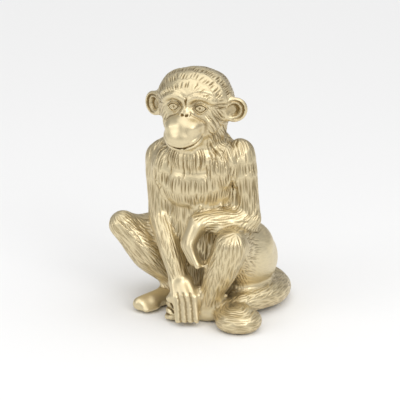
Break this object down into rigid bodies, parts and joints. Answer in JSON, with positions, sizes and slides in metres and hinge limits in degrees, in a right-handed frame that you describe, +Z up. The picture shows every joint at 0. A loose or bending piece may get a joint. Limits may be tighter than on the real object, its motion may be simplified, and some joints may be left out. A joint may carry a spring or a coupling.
{
  "type": "monkey figurine",
  "caption": "Seated monkey ornament in cast resin with separate limbs, ears and tail pinned on, finished in satin champagne-gold paint, standing on felt pads.",
  "frame": {"origin": "on the table under the middle of the seat, at the centre of the base felt's underside", "axes": "+Z up, the figure faces -Y and its left side is +X"},
  "size_m": [0.176, 0.1625, 0.25],
  "materials": {
    "gold_resin": "cast resin under satin champagne-gold metallic paint",
    "plate_plastic": "moulded matt",
    "dowel_steel": "drawn",
    "pad_felt": "pressed felt"
  },
  "bodies": {
    "root": {"torso_shell": "gold_resin", "head_shell": "gold_resin", "right_ear": "gold_resin", "left_ear": "gold_resin", "right_leg": "gold_resin", "left_leg": "gold_resin", "right_arm": "gold_resin", "left_arm": "gold_resin", "tail": "gold_resin", "closing_plate": "plate_plastic", "right_shoulder_dowel": "dowel_steel", "left_shoulder_dowel": "dowel_steel", "right_hip_dowel": "dowel_steel", "left_hip_dowel": "dowel_steel", "right_ear_dowel": "dowel_steel", "left_ear_dowel": "dowel_steel", "tail_dowel": "dowel_steel", "base_felt": "pad_felt", "right_foot_felt": "pad_felt", "left_foot_felt": "pad_felt", "tail_felt": "pad_felt"}
  },
  "joints": []
}
